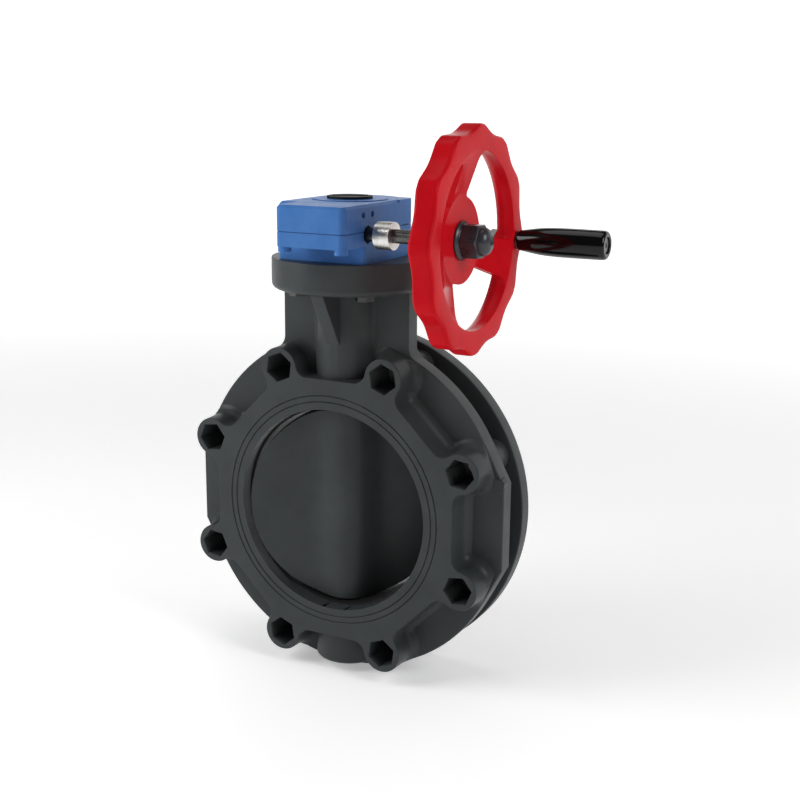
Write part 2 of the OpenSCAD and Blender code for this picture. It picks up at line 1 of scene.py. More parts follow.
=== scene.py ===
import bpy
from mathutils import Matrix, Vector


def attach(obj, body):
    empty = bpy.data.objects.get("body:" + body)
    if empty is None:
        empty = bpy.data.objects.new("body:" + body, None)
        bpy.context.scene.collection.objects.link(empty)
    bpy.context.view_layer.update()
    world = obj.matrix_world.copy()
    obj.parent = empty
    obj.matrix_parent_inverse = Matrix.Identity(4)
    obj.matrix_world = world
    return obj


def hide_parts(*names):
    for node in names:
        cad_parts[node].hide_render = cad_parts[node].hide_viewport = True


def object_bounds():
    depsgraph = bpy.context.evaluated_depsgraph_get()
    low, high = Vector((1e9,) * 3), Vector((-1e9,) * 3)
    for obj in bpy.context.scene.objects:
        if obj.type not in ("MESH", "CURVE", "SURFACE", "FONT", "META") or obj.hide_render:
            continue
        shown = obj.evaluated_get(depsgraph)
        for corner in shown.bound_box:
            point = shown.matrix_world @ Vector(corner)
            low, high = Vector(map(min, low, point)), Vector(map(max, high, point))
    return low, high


bl_info = {
    "name": "Gear operated butterfly valve",
    "version": (1, 0, 0),
    "blender": (4, 5, 0),
    "location": "View3D > Sidebar > Valve",
    "description": "Models and finishes the visible pieces of a lug butterfly valve on its CAD frame",
    "category": "Add Mesh",
}

import math

import bmesh
import bpy
from mathutils import Matrix, Vector

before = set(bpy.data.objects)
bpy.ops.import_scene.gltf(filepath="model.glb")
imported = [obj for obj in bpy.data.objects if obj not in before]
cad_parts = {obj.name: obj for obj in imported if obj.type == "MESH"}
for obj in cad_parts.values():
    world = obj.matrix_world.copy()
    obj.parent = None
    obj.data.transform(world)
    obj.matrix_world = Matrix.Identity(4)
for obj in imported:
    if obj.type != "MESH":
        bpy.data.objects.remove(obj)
CAD_BOX = [list(corner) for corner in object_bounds()]
MM = 0.001


# ---------- modelling helpers ----------


def edit(piece):
    """Opens a piece in edit mode with nothing selected and vertex selection on."""
    bpy.context.view_layer.objects.active = piece
    bpy.ops.object.mode_set(mode="EDIT")
    bpy.ops.mesh.select_mode(type="VERT")
    bpy.ops.mesh.select_all(action="DESELECT")


def leave():
    bpy.ops.object.mode_set(mode="OBJECT")


def only(*pieces):
    """Selects just these objects and makes the first one active."""
    bpy.ops.object.select_all(action="DESELECT")
    for piece in pieces:
        piece.select_set(True)
    bpy.context.view_layer.objects.active = pieces[0]


def pick(piece, test, kind="VERT"):
    """Adds to the edit mode selection what passes the test."""
    bpy.ops.mesh.select_mode(type=kind)
    mesh = bmesh.from_edit_mesh(piece.data)
    items = {"VERT": mesh.verts, "EDGE": mesh.edges, "FACE": mesh.faces}[kind]
    for item in items:
        if test(item):
            item.select_set(True)
    mesh.select_flush_mode()
    bmesh.update_edit_mesh(piece.data)


def outline(name, points, filled=True):
    """Adds a closed outline through the points, given in metres, as one face or as a bare loop."""
    bpy.ops.object.select_all(action="DESELECT")
    bpy.ops.mesh.primitive_circle_add(vertices=len(points), radius=1, fill_type="NGON" if filled else "NOTHING")
    piece = bpy.context.object
    piece.name = name
    for vert, point in zip(piece.data.vertices, points):
        vert.co = point
    return piece


def spot(point):
    return tuple(round(number * 1e6) for number in point)


def raised(name, levels):
    """Extrudes an outline through levels; each level gives every point its next place."""
    piece = outline(name, levels[0])
    edit(piece)
    bpy.ops.mesh.select_all(action="SELECT")
    for old, new in zip(levels, levels[1:]):
        bpy.ops.mesh.extrude_region_move(TRANSFORM_OT_translate={"value": (0, 0, 0)})
        mesh = bmesh.from_edit_mesh(piece.data)
        places = {spot(Vector(a)): b for a, b in zip(old, new)}
        for vert in mesh.verts:
            if vert.select:
                vert.co = places[spot(vert.co)]
        bmesh.update_edit_mesh(piece.data)
    bpy.ops.mesh.select_all(action="SELECT")
    bpy.ops.mesh.normals_make_consistent(inside=False)
    leave()
    return piece


def prism(name, points, along, low, high):
    """A straight prism: points are (first, second) in mm across the axis, low and high lie along it in mm."""
    place = {
        "X": lambda p, h: (h * MM, p[0] * MM, p[1] * MM),
        "Y": lambda p, h: (p[0] * MM, h * MM, p[1] * MM),
        "Z": lambda p, h: (p[0] * MM, p[1] * MM, h * MM),
    }[along]
    return raised(name, [[place(p, h) for p in points] for h in (low, high)])


def lathe(name, profile, axis, centre=(0, 0, 0), steps=128, closed=True):
    """Spins a profile of (radius, place along the axis) in mm about an axis through centre."""
    origin = Vector(centre) * MM
    out, along = {
        "X": (Vector((0, 0, 1)), Vector((1, 0, 0))),
        "Y": (Vector((0, 0, 1)), Vector((0, 1, 0))),
        "Z": (Vector((1, 0, 0)), Vector((0, 0, 1))),
    }[axis]
    piece = outline(name, [origin + (out * r + along * h) * MM for r, h in profile], filled=False)
    edit(piece)
    if not closed:
        first, last = origin + (out * profile[0][0] + along * profile[0][1]) * MM, origin + (
            out * profile[-1][0] + along * profile[-1][1]
        ) * MM
        pick(piece, lambda e: {spot(v.co) for v in e.verts} == {spot(first), spot(last)}, "EDGE")
        bpy.ops.mesh.delete(type="EDGE_FACE")
    bpy.ops.mesh.select_mode(type="VERT")
    bpy.ops.mesh.select_all(action="SELECT")
    bpy.ops.mesh.spin(steps=steps, angle=2 * math.pi, center=origin, axis=along)
    bpy.ops.mesh.select_all(action="SELECT")
    bpy.ops.mesh.remove_doubles(threshold=1e-6)
    bpy.ops.mesh.normals_make_consistent(inside=False)
    leave()
    return piece


def modifier(piece, kind, **settings):
    """Adds a modifier with its settings and applies it."""
    only(piece)
    bpy.ops.object.modifier_add(type=kind)
    added = piece.modifiers[-1]
    for key, value in settings.items():
        setattr(added, key, value)
    bpy.ops.object.modifier_apply(modifier=added.name)


def joined(first, *others):
    only(first, *others)
    bpy.ops.object.join()
    return first


def combine(piece, tool, operation):
    """Unites or cuts a piece with a tool, which is used up."""
    modifier(piece, "BOOLEAN", object=tool, operation=operation, solver="EXACT")
    bpy.data.objects.remove(tool)
    return piece


def unite(piece, tool):
    return combine(piece, tool, "UNION")


def cut(piece, tool):
    return combine(piece, tool, "DIFFERENCE")


def merge(piece, distance=0.005):
    """Merges points that lie closer than the distance in mm, and clears what has no area."""
    edit(piece)
    bpy.ops.mesh.select_all(action="SELECT")
    bpy.ops.mesh.remove_doubles(threshold=distance * MM)
    bpy.ops.mesh.dissolve_degenerate(threshold=distance * MM)
    leave()


def cad_copy(name, node):
    """A merged copy of a CAD node's mesh with its triangles joined into flat faces."""
    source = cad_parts[node]
    piece = bpy.data.objects.new(name, source.data.copy())
    piece.data.materials.clear()
    bpy.context.scene.collection.objects.link(piece)
    only(piece)
    merge(piece)
    edit(piece)
    bpy.ops.mesh.select_all(action="SELECT")
    bpy.ops.mesh.dissolve_limited(angle_limit=math.radians(0.6))
    leave()
    return piece


def soften(piece, width, segments=3, angle=32):
    """Rounds the edges by a width in mm, as a casting, a moulding or a turned part has them."""
    modifier(
        piece,
        "BEVEL",
        width=width * MM,
        segments=segments,
        limit_method="ANGLE",
        angle_limit=math.radians(angle),
        use_clamp_overlap=True,
        miter_outer="MITER_ARC",
    )


def round_edges(piece, width, segments, angle, apart):
    """Rounds the edges sharper than an angle, except those whose ends both pass the test apart."""
    edit(piece)
    pick(
        piece,
        lambda e: len(e.link_faces) == 2
        and e.calc_face_angle(0) > math.radians(angle)
        and not all(apart(v) for v in e.verts),
        "EDGE",
    )
    bpy.ops.mesh.bevel(
        offset=width * MM, segments=segments, affect="EDGES", clamp_overlap=True, miter_outer="ARC"
    )
    leave()


def smooth(piece, angle=35, weighted=True):
    only(piece)
    bpy.ops.object.shade_smooth_by_angle(angle=math.radians(angle))
    if weighted:
        modifier(piece, "WEIGHTED_NORMAL", mode="FACE_AREA", weight=100, keep_sharp=True)


def place(piece, body, nodes, slot, material):
    """Gives a finished piece its material and body, and hides the CAD nodes that it stands for; slot is not used."""
    piece.data.materials.clear()
    piece.data.materials.append(material)
    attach(piece, body)
    if nodes:
        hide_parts(*nodes)
    return piece


# ---------- materials ----------


def linear(text):
    """Turns an sRGB hex value into the linear colour that the shader wants; a linear colour stays."""
    if not isinstance(text, str):
        return list(text)
    parts = [int(text[i : i + 2], 16) / 255 for i in (1, 3, 5)]
    return [*(p / 12.92 if p <= 0.04045 else ((p + 0.055) / 1.055) ** 2.4 for p in parts), 1]


def add_node(tree, kind, settings, inputs):
    """Adds one node, sets its properties, and fills or links its sockets."""
    made = tree.nodes.new(kind)
    for key, value in settings.items():
        setattr(made, key, value)
    for key, value in inputs.items():
        if isinstance(value, bpy.types.NodeSocket):
            tree.links.new(value, made.inputs[key])
        else:
            made.inputs[key].default_value = value
    return made


def new_material(name):
    made = bpy.data.materials.new(name)
    made.use_nodes = True
    made.node_tree.nodes.clear()
    return made, made.node_tree


def per_metre(size_mm):
    """Noise scale whose features are about this size."""
    return 1000 / size_mm


def ramp(tree, fac, stops):
    """A colour ramp; each stop is a place and a linear colour or a grey value."""
    made = add_node(tree, "ShaderNodeValToRGB", {}, {"Fac": fac})
    for index, (position, colour) in enumerate(stops):
        element = made.color_ramp.elements[index] if index < 2 else made.color_ramp.elements.new(position)
        element.position = position
        element.color = colour if isinstance(colour, list) else [colour, colour, colour, 1]
    return made


def finish_surface(tree, surface):
    add_node(tree, "ShaderNodeOutputMaterial", {}, {"Surface": surface})


def noise(tree, where, size_mm, detail=3, rough=0.5):
    return add_node(
        tree,
        "ShaderNodeTexNoise",
        {},
        {"Vector": where, "Scale": per_metre(size_mm), "Detail": detail, "Roughness": rough},
    )


def plain_finish(name, shades, rough, grain_mm, grain_depth, cloud_mm=45, wave_mm=9, wave_depth=0.0, **sockets):
    """A surface with slow colour clouds, a roughness that wanders, fine grain and slow waviness.

    shades are the darker and lighter colour, rough the least and greatest roughness, depths are in mm.
    """
    made, tree = new_material(name)
    where = add_node(tree, "ShaderNodeTexCoord", {}, {}).outputs["Object"]
    clouds = noise(tree, where, cloud_mm, 4, 0.55)
    colour = ramp(tree, clouds.outputs["Fac"], [(0.36, linear(shades[0])), (0.64, linear(shades[1]))])
    patches = noise(tree, where, cloud_mm * 0.35, 5, 0.6)
    roughness = ramp(tree, patches.outputs["Fac"], [(0.3, rough[0]), (0.7, rough[1])])
    grain = noise(tree, where, grain_mm, 2, 0.5)
    bump = add_node(
        tree,
        "ShaderNodeBump",
        {},
        {"Strength": 1.0, "Distance": grain_depth * MM, "Height": grain.outputs["Fac"]},
    )
    if wave_depth:
        waves = noise(tree, where, wave_mm, 1, 0.4)
        bump = add_node(
            tree,
            "ShaderNodeBump",
            {},
            {
                "Strength": 1.0,
                "Distance": wave_depth * MM,
                "Height": waves.outputs["Fac"],
                "Normal": bump.outputs["Normal"],
            },
        )
    surface = add_node(
        tree,
        "ShaderNodeBsdfPrincipled",
        {},
        {
            "Base Color": colour.outputs["Color"],
            "Roughness": roughness.outputs["Color"],
            "Normal": bump.outputs["Normal"],
            **sockets,
        },
    )
    finish_surface(tree, surface.outputs["BSDF"])
    return made


def turned_metal(name, shades, rough, axis, centre, ring_mm, ring_depth):
    """Metal turned on a lathe: fine rings round an axis that passes through centre, in metres."""
    made, tree = new_material(name)
    where = add_node(tree, "ShaderNodeTexCoord", {}, {}).outputs["Object"]
    moved = add_node(tree, "ShaderNodeMapping", {"vector_type": "POINT"}, {"Vector": where})
    moved.inputs["Location"].default_value = [-number for number in centre]
    stretch = {"X": (1, 0.02, 0.02), "Y": (0.02, 1, 0.02), "Z": (0.02, 0.02, 1)}[axis]
    squeezed = add_node(
        tree,
        "ShaderNodeMapping",
        {"vector_type": "POINT"},
        {"Vector": moved.outputs["Vector"], "Scale": stretch},
    )
    rings = noise(tree, squeezed.outputs["Vector"], ring_mm, 3, 0.6)
    clouds = noise(tree, where, 12, 4, 0.55)
    colour = ramp(tree, clouds.outputs["Fac"], [(0.35, linear(shades[0])), (0.65, linear(shades[1]))])
    roughness = ramp(tree, rings.outputs["Fac"], [(0.3, rough[0]), (0.7, rough[1])])
    bump = add_node(
        tree,
        "ShaderNodeBump",
        {},
        {"Strength": 1.0, "Distance": ring_depth * MM, "Height": rings.outputs["Fac"]},
    )
    surface = add_node(
        tree,
        "ShaderNodeBsdfPrincipled",
        {},
        {
            "Base Color": colour.outputs["Color"],
            "Metallic": 1.0,
            "Roughness": roughness.outputs["Color"],
            "Normal": bump.outputs["Normal"],
        },
    )
    finish_surface(tree, surface.outputs["BSDF"])
    return made


SHAFT_AT = (0, -0.048, 0.273)
finishes = {}


def make_finishes(colours):
    """Makes every finish of the valve once."""
    # Rigid PVC, injection moulded: even dark grey with a satin skin and a faint flow mottle.
    finishes["pvc"] = plain_finish(
        "Moulded_PVC", (colours.pvc_dark, colours.pvc_light), (0.34, 0.46), 0.9, 0.006,
        wave_mm=16, wave_depth=0.02, **{"Specular IOR Level": 0.18},
    )
    # Enamel sprayed on a fine sand casting: mid blue, half gloss, with the casting's grain showing through.
    finishes["blue"] = plain_finish(
        "Sprayed_Blue_Enamel", (colours.blue_dark, colours.blue_light), (0.3, 0.42), 1.6, 0.05,
        wave_mm=6, wave_depth=0.05, cloud_mm=30, **{"Specular IOR Level": 0.08},
    )
    # Enamel baked on an iron casting: full red, gloss, soft waves in the reflections.
    finishes["red"] = plain_finish(
        "Baked_Red_Enamel", (colours.red_dark, colours.red_light), (0.18, 0.28), 2.2, 0.02,
        wave_mm=9, wave_depth=0.07, cloud_mm=35, **{"Specular IOR Level": 0.04},
    )
    # EPDM rubber, moulded: nearly black and matt with a dusty bloom.
    finishes["rubber"] = plain_finish(
        "Moulded_EPDM", ("#101011", "#18191a"), (0.55, 0.7), 0.8, 0.01, IOR=1.5
    )
    # Phenolic resin, pressed and polished: deep black with sharp highlights.
    finishes["phenolic"] = plain_finish(
        "Polished_Phenolic", ("#050505", "#0a0909"), (0.08, 0.14), 1.2, 0.002,
        wave_mm=14, wave_depth=0.01, **{"Specular IOR Level": 0.3},
    )
    # Nylon, moulded: black with a soft sheen.
    finishes["nylon"] = plain_finish(
        "Moulded_Black_Nylon", ("#0b0e10", "#121618"), (0.5, 0.62), 0.7, 0.008, **{"Specular IOR Level": 0.2}
    )
    # Acetal, moulded: dark slate cap nut and washer with soft highlights.
    finishes["slate"] = plain_finish(
        "Moulded_Slate_Acetal", ("#25272c", "#33353b"), (0.24, 0.36), 0.8, 0.008,
        wave_mm=5, wave_depth=0.01, cloud_mm=14, IOR=1.48,
    )
    # Fibre gasket, sprayed over with the box: a blue line a shade darker than the castings.
    finishes["gasket"] = plain_finish(
        "Oversprayed_Fibre_Gasket", ("#1f4880", "#27528c"), (0.55, 0.7), 0.5, 0.02, cloud_mm=8
    )
    # Stainless steel, turned: bright, with fine rings round the shaft axis.
    finishes["collar"] = turned_metal(
        "Turned_Stainless_Steel", ("#cfcdc9", "#e2e0dc"), (0.24, 0.38), "X", SHAFT_AT, 0.35, 0.002
    )
    # Carbon steel, turned and oiled: dark, with soft rings round the shaft axis.
    finishes["shaft"] = turned_metal(
        "Turned_Oiled_Steel", ("#4a4a4a", "#62625f"), (0.24, 0.38), "X", SHAFT_AT, 0.4, 0.006
    )
    # Stainless steel, cold headed: bright grey with a fine brushed grain.
    finishes["steel"] = plain_finish(
        "Cold_Headed_Stainless_Steel", ("#8c8b88", "#a3a29f"), (0.28, 0.42), 0.5, 0.008, cloud_mm=9,
        Metallic=1.0,
    )
    # Stainless steel, dull: the pad bolts get a darker grey than the other stainless parts, as painted shade for the
    # shade under the pad.
    finishes["bolt"] = plain_finish(
        "Stainless_Steel_Painted_Shade", ("#4c4c4b", "#5f5f5d"), (0.42, 0.56), 0.6, 0.01, cloud_mm=8, Metallic=1.0
    )
    # Stainless steel, ground: the stem, with rings round the stem axis.
    finishes["stem"] = turned_metal(
        "Ground_Stainless_Steel", ("#b4b3b0", "#cac9c6"), (0.18, 0.3), "Z", (0, 0, 0), 0.4, 0.004
    )
    # Tin bronze, cast and turned: warm yellow brown, slightly dull.
    finishes["bronze"] = plain_finish(
        "Turned_Tin_Bronze", ("#8c6a3a", "#a9854e"), (0.3, 0.45), 0.6, 0.012, cloud_mm=12, Metallic=1.0
    )


CAD_FINISHES = {
    "seat_liner": "rubber",
    "upper_bush": "bronze",
    "lower_bush": "bronze",
    "stem_seals": "rubber",
    "bottom_plug": "pvc",
    "lug_inserts": "steel",
    "stem": "stem",
    "pad_bolts": "bolt",
    "cover_gasket": "gasket",
    "cover_screws": "steel",
    "stop_screws": "steel",
    "stop_nuts": "steel",
    "worm_bushes": "bronze",
    "shaft_seal": "rubber",
    "worm_wheel": "bronze",
    "stem_key": "steel",
    "indicator_cap": "nylon",
    "indicator_seal": "rubber",
    "input_shaft": "shaft",
    "worm": "shaft",
    "worm_pin": "steel",
    "shaft_collar": "collar",
    "collar_screw": "shaft",
    "wheel_key": "steel",
    "wheel_washer": "slate",
    "cap_nut": "slate",
    "handle_spindle": "shaft",
    "handle_nut": "steel",
    "handle_screw": "shaft",
    "handle_grip": "phenolic",
    "valve_body": "pvc",
    "disc": "pvc",
    "gearbox_base": "blue",
    "gearbox_cover": "blue",
    "handwheel": "red",
}


# ---------- settings ----------


def colour_setting(name, description, default):
    """A colour shown as a swatch; the default is an sRGB hex value."""
    return bpy.props.FloatVectorProperty(
        name=name, description=description, subtype="COLOR", size=4, min=0, max=1, default=linear(default)
    )


class ValveColours(bpy.types.PropertyGroup):
    pvc_dark: colour_setting("PVC, darker", "Darker shade of the body", "#363a3b")
    pvc_light: colour_setting("PVC, lighter", "Lighter shade of the body", "#3c4041")
    blue_dark: colour_setting("Blue, darker", "Darker gearbox shade", "#4070b0")
    blue_light: colour_setting("Blue, lighter", "Lighter gearbox shade", "#4a79b8")
    red_dark: colour_setting("Red, darker", "Darker handwheel shade", "#b80f19")
    red_light: colour_setting("Red, lighter", "Lighter handwheel shade", "#c5121d")


class ValveSizes(bpy.types.PropertyGroup):
    web_hollow: bpy.props.FloatProperty(
        name="Web hollow",
        description="Radius of the hollow from lug ring to web, in mm",
        default=10.5,
        min=4,
        max=11,
    )
    box_edge: bpy.props.FloatProperty(
        name="Gearbox edge", description="Rounding of the gearbox's edges, in mm", default=1.2, min=0.3, max=2
    )
    wheel_edge: bpy.props.FloatProperty(
        name="Handwheel edge",
        description="Rounding of the handwheel's edges, in mm",
        default=3.2,
        min=1,
        max=4,
    )


# ---------- stage ----------


class VALVE_OT_stage(bpy.types.Operator):
    """Makes the floor, the lights and the camera"""

    bl_idname = "valve.stage"
    bl_label = "Stage"

    def execute(self, context):
        low = CAD_BOX[0][2]
        bpy.ops.object.select_all(action="DESELECT")
        bpy.ops.mesh.primitive_plane_add(size=14, location=(0, 0, low - 0.0002))
        floor = bpy.context.object
        floor.name = "studio_floor"
        edit(floor)
        pick(floor, lambda e: all(v.co.y > 6 for v in e.verts), "EDGE")
        bpy.ops.mesh.extrude_region_move(TRANSFORM_OT_translate={"value": (0, 0, 6)})
        bpy.ops.mesh.select_all(action="DESELECT")
        pick(floor, lambda e: all(v.co.y > 6 and abs(v.co.z) < 0.5 for v in e.verts), "EDGE")
        bpy.ops.mesh.bevel(offset=2.5, segments=16, affect="EDGES")
        leave()
        smooth(floor, 60, weighted=False)
        # Painted light: the floor paper glows by itself, weakly (0.34) near the valve and up to 0.85 three metres
        # out, so it is dimmer around the valve and white far off.
        made, tree = new_material("Studio_Paper_Painted_Glow")
        where = add_node(tree, "ShaderNodeTexCoord", {}, {}).outputs["Object"]
        away = add_node(tree, "ShaderNodeVectorMath", {"operation": "LENGTH"}, {0: where})
        glow = add_node(
            tree,
            "ShaderNodeMapRange",
            {"interpolation_type": "SMOOTHSTEP"},
            {"Value": away.outputs["Value"], "From Min": 0.3, "From Max": 3.0, "To Min": 0.34, "To Max": 0.85},
        )
        surface = add_node(
            tree,
            "ShaderNodeBsdfPrincipled",
            {},
            {
                "Base Color": linear("#f2f2f2"),
                "Roughness": 0.9,
                "Emission Color": linear("#ffffff"),
                "Emission Strength": glow.outputs["Result"],
            },
        )
        finish_surface(tree, surface.outputs["BSDF"])
        floor.data.materials.append(made)

        world = bpy.data.worlds.new("Studio")
        bpy.context.scene.world = world
        world.use_nodes = True
        world.node_tree.nodes["Background"].inputs["Color"].default_value = (1, 1, 1, 1)
        world.node_tree.nodes["Background"].inputs["Strength"].default_value = 0.09
        bpy.context.scene.view_settings.view_transform = "Standard"

        for name, place_at, size, power, target in (
            ("left", (-0.8, -0.65, 0.6), (0.6, 0.9), 9, (-0.05, 0, 0.08)),
            ("right", (1.5, -0.25, 1.05), (0.8, 0.8), 12, (0.14, -0.05, 0.27)),
            ("top", (-0.2, 0.1, 2.2), (1.4, 1.4), 9, (0, 0, 0.1)),
        ):
            bpy.ops.object.light_add(type="AREA", location=place_at)
            lamp = bpy.context.object
            lamp.name = "softbox_" + name
            lamp.data.shape = "RECTANGLE"
            lamp.data.size, lamp.data.size_y = size
            lamp.data.energy = power
            aim = Vector(target) - Vector(place_at)
            lamp.rotation_euler = aim.to_track_quat("-Z", "Y").to_euler()

        azimuth, elevation, roll = (math.radians(angle) for angle in (27.188, 13.485, 0.506))
        back = Vector(
            (
                math.sin(azimuth) * math.cos(elevation),
                -math.cos(azimuth) * math.cos(elevation),
                math.sin(elevation),
            )
        )
        right = Vector((math.cos(azimuth), math.sin(azimuth), 0))
        up = back.cross(right)
        right, up = (
            right * math.cos(roll) + up * math.sin(roll),
            up * math.cos(roll) - right * math.sin(roll),
        )
        bpy.ops.object.camera_add(location=(0.59727, -1.05498, 0.39443))
        camera = bpy.context.object
        camera.rotation_euler = Matrix((right, up, back)).transposed().to_euler()
        camera.data.sensor_width = 36
        camera.data.lens = 56.87
        bpy.context.scene.camera = camera
        return {"FINISHED"}


# ---------- valve body ----------

BOLT_R = 149.225
PITCH = math.radians(45)
WEB_R = 170.0


def arc(centre, radius, start, end, count):
    """Points on an arc, angles in radians, with the unit vector from its centre."""
    points = []
    for index in range(count + 1):
        angle = start + (end - start) * index / count
        way = (math.cos(angle), math.sin(angle))
        points.append(((centre[0] + radius * way[0], centre[1] + radius * way[1]), way))
    return points


def lug_ring_outline():
    """Points of the ring with its eight lugs and, at each, the direction that points outwards."""
    apothem, lug_r, hollow = 131.0, 19.5, 12.0
    lug = (BOLT_R * math.cos(PITCH / 2), BOLT_R * math.sin(PITCH / 2))
    centre_x = apothem + hollow
    centre_y = lug[1] - math.sqrt((lug_r + hollow) ** 2 - (centre_x - lug[0]) ** 2)
    touch = math.atan2(lug[1] - centre_y, lug[0] - centre_x)
    half = [((apothem, centre_y * part / 3), (1.0, 0.0)) for part in range(3)]
    half += [
        (point, (-way[0], -way[1])) for point, way in arc((centre_x, centre_y), hollow, math.pi, touch, 7)
    ]
    half += arc(lug, lug_r, touch - math.pi, PITCH / 2, 14)[1:]
    points = []
    for sector in range(8):
        turn = sector * PITCH
        cos, sin = math.cos(turn), math.sin(turn)
        mirrored = [((p[0], -p[1]), (n[0], -n[1])) for p, n in reversed(half[1:-1])]
        for point, normal in mirrored + half:
            points.append(
                (
                    (point[0] * cos - point[1] * sin, point[0] * sin + point[1] * cos),
                    (normal[0] * cos - normal[1] * sin, normal[0] * sin + normal[1] * cos),
                )
            )
    return points


def grown(points, distance, limit):
    """The outline moved outwards by a distance in mm, kept inside a limiting radius."""
    moved = []
    for point, normal in points:
        x, z = point[0] + normal[0] * distance, point[1] + normal[1] * distance
        radius = math.hypot(x, z)
        if radius > limit:
            x, z = x * limit / radius, z * limit / radius
        moved.append((x, z))
    return moved


def web_outline():
    """Outline of the web with its upright flats and the neck plate, as (X, Z) in mm."""
    neck, hollow, flat = 69.0, 14.0, 42.0
    centre_x = neck + hollow
    centre_z = math.sqrt((WEB_R + hollow) ** 2 - centre_x**2)
    toward = math.atan2(-centre_z, -centre_x) + 2 * math.pi
    touch = math.atan2(centre_z, centre_x)
    tangent = 2 * math.atan(flat / WEB_R)
    side = [(neck, 222.0)]
    side += [point for point, _ in arc((centre_x, centre_z), hollow, math.pi, toward, 8)]
    side += [point for point, _ in arc((0, 0), WEB_R, touch, tangent, 18)[1:]]
    side += [(WEB_R, flat), (WEB_R, -flat)]
    side += [point for point, _ in arc((0, 0), WEB_R, -tangent, -math.pi / 2, 30)]
    return side + [(-x, z) for x, z in reversed(side[:-1])]


def housing_outline():
    """Plan of the stem housing with soft hollows where it meets the neck plate, as (X, Y) in mm."""
    radius, hollow = 33.0, 6.0
    points = []
    for face, sign in ((-10.0, -1), (9.0, 1)):
        depth = abs(face) + hollow - 0.15
        centre_x = math.sqrt((radius + hollow) ** 2 - depth**2)
        touch = math.atan2(depth, centre_x)
        quarter = [point for point, _ in arc((centre_x, depth), hollow, -math.pi / 2, touch - math.pi, 6)]
        quarter += [point for point, _ in arc((0, 0), radius, touch, math.pi / 2, 14)[1:]]
        half = quarter + [(-x, y) for x, y in reversed(quarter[:-1])]
        half = [(x, y * sign) for x, y in half]
        points += half if sign < 0 else list(reversed(half))
    return points


def round_rod(name, radius, axis, low, high, centre=(0, 0, 0), steps=64, edge=0.0):
    """A closed rod with rounded ends."""
    profile = [(0, low), (radius - edge, low)]
    if edge:
        profile += [(radius - 0.3 * edge, low + 0.3 * edge), (radius, low + edge)]
        profile += [(radius, high - edge), (radius - 0.3 * edge, high - 0.3 * edge), (radius - edge, high)]
    else:
        profile += [(radius, high)]
    return lathe(name, profile + [(0, high)], axis, centre, steps, closed=False)


